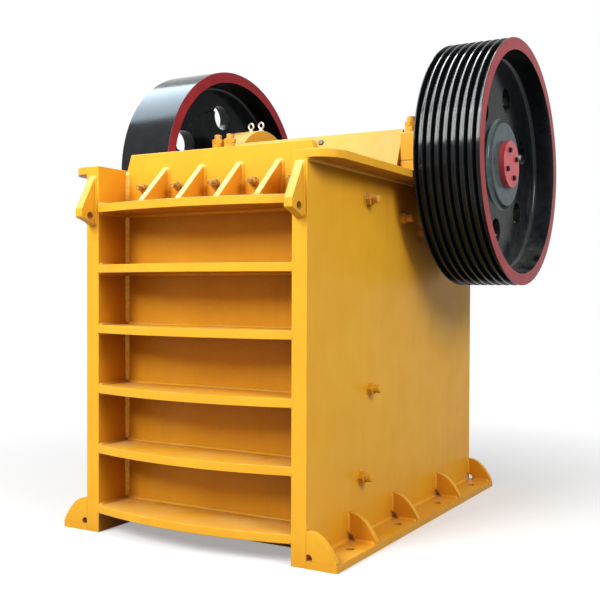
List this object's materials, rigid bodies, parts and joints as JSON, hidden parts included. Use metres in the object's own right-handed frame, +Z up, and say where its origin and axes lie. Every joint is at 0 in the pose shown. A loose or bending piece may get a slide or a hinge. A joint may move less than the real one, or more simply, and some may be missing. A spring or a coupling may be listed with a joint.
{
  "type": "jaw crusher",
  "caption": "Single-toggle jaw crusher: welded side-plate frame with a ribbed front, toothed jaws, an eccentric shaft, a V-belt pulley and a plain flywheel.",
  "frame": {"origin": "on the ground at mid-width, halfway along the overall length", "axes": "+X towards the belt pulley, +Y from the ribbed front to the rear, +Z up"},
  "size_m": [1.904, 1.879, 2.187],
  "materials": {
    "yellow_paint": "gloss",
    "black_paint": "gloss",
    "red_paint": "satin",
    "jaw_steel": "matte",
    "bare_steel": "satin"
  },
  "bodies": {
    "frame": {"base_flange_left": "yellow_paint", "base_flange_right": "yellow_paint", "bearing_base_left": "yellow_paint", "bearing_base_right": "yellow_paint", "bearing_cap_left": "yellow_paint", "bearing_cap_right": "yellow_paint", "cap_studs_left": "yellow_paint", "cap_studs_right": "yellow_paint", "cheek_bolts_left": "yellow_paint", "cheek_bolts_right": "yellow_paint", "cheek_plates_left": "jaw_steel", "cheek_plates_right": "jaw_steel", "fixed_jaw_plate": "jaw_steel", "foot_gussets_left": "yellow_paint", "foot_gussets_right": "yellow_paint", "front_gussets": "yellow_paint", "front_shelf_1": "yellow_paint", "front_shelf_2": "yellow_paint", "front_shelf_3": "yellow_paint", "front_shelf_4": "yellow_paint", "front_shelf_5": "yellow_paint", "front_shelf_6": "yellow_paint", "front_wall": "yellow_paint", "guard_plate": "yellow_paint", "jaw_bolts": "bare_steel", "lifting_lugs": "yellow_paint", "rear_ribs": "yellow_paint", "rear_wall": "yellow_paint", "side_plate_left": "yellow_paint", "side_plate_right": "yellow_paint", "tension_springs": "bare_steel", "toggle_block": "bare_steel", "toggle_guides": "yellow_paint", "top_flange_left": "yellow_paint", "top_flange_right": "yellow_paint"},
    "rotor": {"eccentric_shaft": "bare_steel", "belt_pulley": "black_paint", "flywheel": "black_paint", "pulley_cover": "red_paint", "flywheel_cover": "red_paint"},
    "swing_jaw": {"swing_jaw": "yellow_paint", "swing_jaw_plate": "jaw_steel", "toggle_seat": "bare_steel", "tension_rods": "bare_steel"},
    "toggle": {"toggle_plate": "bare_steel"}
  },
  "joints": [
    {"name": "rotor_turn", "type": "hinge", "parent": "frame", "child": "rotor", "pos_m": [0, 0.3565, 1.604], "axis": [1, 0, 0], "continuous": true},
    {"name": "jaw_swing", "type": "hinge", "parent": "frame", "child": "swing_jaw", "pos_m": [0, 0.3565, 1.604], "axis": [1, 0, 0], "range_deg": [-0.5, 0.5]},
    {"name": "toggle_rock", "type": "hinge", "parent": "frame", "child": "toggle", "pos_m": [0, 0.4265, 0.65], "axis": [1, 0, 0], "range_deg": [-1, 1]}
  ],
  "couplings": [
    {"joint": "toggle_rock", "follows": "jaw_swing", "ratio": 1.5}
  ]
}
